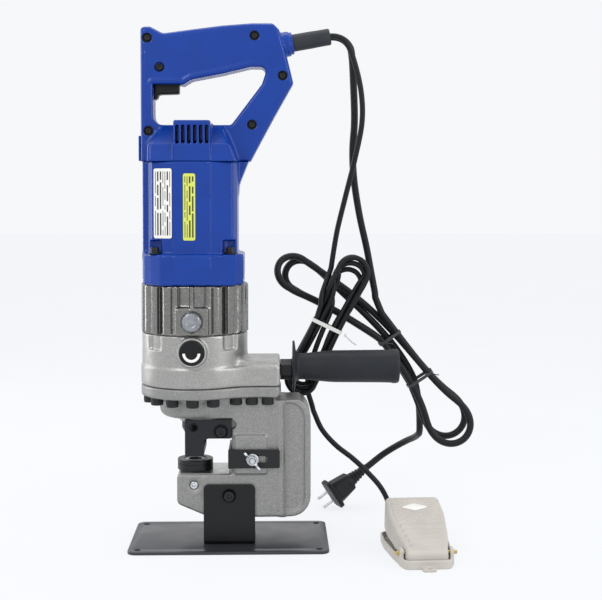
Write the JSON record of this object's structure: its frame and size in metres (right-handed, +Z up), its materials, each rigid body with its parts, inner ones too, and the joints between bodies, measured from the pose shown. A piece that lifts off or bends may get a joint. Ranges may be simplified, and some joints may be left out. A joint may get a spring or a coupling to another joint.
{
  "type": "electro-hydraulic hole punch",
  "caption": "Portable electro-hydraulic hole punch: D-handled motor on a ram and C-frame with punch and die, side handle, bench stand, foot switch, tied leads and plug.",
  "frame": {"origin": "middle of the base plate's underside", "axes": "+Z up along the ram and motor, -Y towards the working side with the gauge and screws, +X towards the side handle and foot switch"},
  "size_m": [0.3713, 0.2733, 0.5344],
  "materials": {
    "blue_plastic": "gloss",
    "cast_grey": "sand-cast satin",
    "alloy": "machined",
    "black_steel": "satin",
    "screw_black": "blackened",
    "zinc": "zinc plated",
    "tool_steel": "ground",
    "copper": "wound copper",
    "carbon": "matt",
    "black_plastic": "satin",
    "grip_plastic": "satin",
    "boot_rubber": "satin",
    "cord_rubber": "satin",
    "seal_rubber": "matt",
    "plug_plastic": "satin",
    "pedal_plastic": "satin",
    "yellow_zinc": "yellow zinc",
    "tie_white": "satin"
  },
  "bodies": {
    "tool": {"base_plate": "black_steel", "stand_bracket": "black_steel", "stand_screw": "screw_black", "c_frame": "cast_grey", "die_holder": "black_steel", "die": "tool_steel", "die_set_screw": "zinc", "stripper": "black_steel", "stripper_screw": "screw_black", "gauge_stud": "zinc", "return_spring": "tool_steel", "cylinder_body": "cast_grey", "pump_housing": "alloy", "oil_plug": "zinc", "pump_block": "tool_steel", "stator": "tool_steel", "lower_bearing": "tool_steel", "upper_bearing": "tool_steel", "carbon_brush_left": "carbon", "carbon_brush_right": "carbon", "motor_housing": "blue_plastic", "motor_screw_1": "screw_black", "motor_screw_2": "screw_black", "motor_screw_3": "screw_black", "motor_screw_4": "screw_black", "handle_shell_front": "blue_plastic", "handle_shell_rear": "blue_plastic", "trigger_switch": "black_plastic", "brush_cover": "blue_plastic", "handle_collar": "black_steel", "side_handle": "grip_plastic", "pedal_base": "pedal_plastic", "pedal_pin": "yellow_zinc", "pedal_switch": "black_plastic", "cord_boot": "boot_rubber", "mains_lead": "cord_rubber", "mains_hank": "cord_rubber", "mains_tie_upper": "cord_rubber", "mains_tie_lower": "cord_rubber", "foot_lead": "cord_rubber", "foot_hank": "cord_rubber", "foot_tie": "tie_white", "mains_tail": "cord_rubber", "foot_tail": "cord_rubber", "plug_body": "plug_plastic", "plug_blade_1": "yellow_zinc", "plug_blade_2": "yellow_zinc"},
    "armature": {"armature": "copper", "cooling_fan": "black_plastic"},
    "gear": {"eccentric_gear": "tool_steel"},
    "ram": {"ram": "tool_steel", "piston_seal": "seal_rubber", "punch_nut": "black_steel", "punch": "tool_steel"},
    "release_knob": {"release_knob": "black_plastic"},
    "back_gauge": {"back_gauge": "black_steel"},
    "wing_nut": {"wing_nut": "zinc"},
    "trigger": {"trigger": "black_plastic"},
    "lock_button": {"lock_button": "black_plastic"},
    "pedal": {"pedal_tread": "pedal_plastic"}
  },
  "joints": [
    {"name": "armature_spin", "type": "hinge", "parent": "tool", "child": "armature", "pos_m": [-0.036, 0, 0.34], "axis": [0, 0, 1], "continuous": true},
    {"name": "gear_spin", "type": "hinge", "parent": "tool", "child": "gear", "pos_m": [-0.014, 0, 0.2455], "axis": [0, 0, 1], "continuous": true},
    {"name": "ram_stroke", "type": "slide", "parent": "tool", "child": "ram", "axis": [0, 0, -1], "range_m": [0, 0.012], "stiffness_N_per_m": 6000, "springref_m": -0.015, "deforming": ["return_spring"]},
    {"name": "release_turn", "type": "hinge", "parent": "tool", "child": "release_knob", "pos_m": [-0.036, -0.06, 0.2025], "axis": [0, -1, 0], "range_deg": [0, 180]},
    {"name": "gauge_slide", "type": "slide", "parent": "tool", "child": "back_gauge", "axis": [-1, 0, 0], "range_m": [0, 0.012]},
    {"name": "wing_nut_turn", "type": "hinge", "parent": "tool", "child": "wing_nut", "pos_m": [0.024, -0.04, 0.0906], "axis": [0, -1, 0], "continuous": true},
    {"name": "trigger_squeeze", "type": "slide", "parent": "tool", "child": "trigger", "axis": [0, 0, 1], "range_m": [0, 0.005], "stiffness_N_per_m": 800, "springref_m": -0.004},
    {"name": "lock_press", "type": "slide", "parent": "tool", "child": "lock_button", "axis": [0, 1, 0], "range_m": [0, 0.003], "stiffness_N_per_m": 400, "springref_m": -0.002},
    {"name": "pedal_press", "type": "hinge", "parent": "tool", "child": "pedal", "pos_m": [0.19342, -0.10002, 0.013], "axis": [-0.9986, -0.0523, 0], "range_deg": [0, 7], "stiffness_Nm_per_rad": 3, "springref_deg": -11.46}
  ],
  "couplings": [
    {"joint": "gear_spin", "follows": "armature_spin", "ratio": -0.33333}
  ]
}
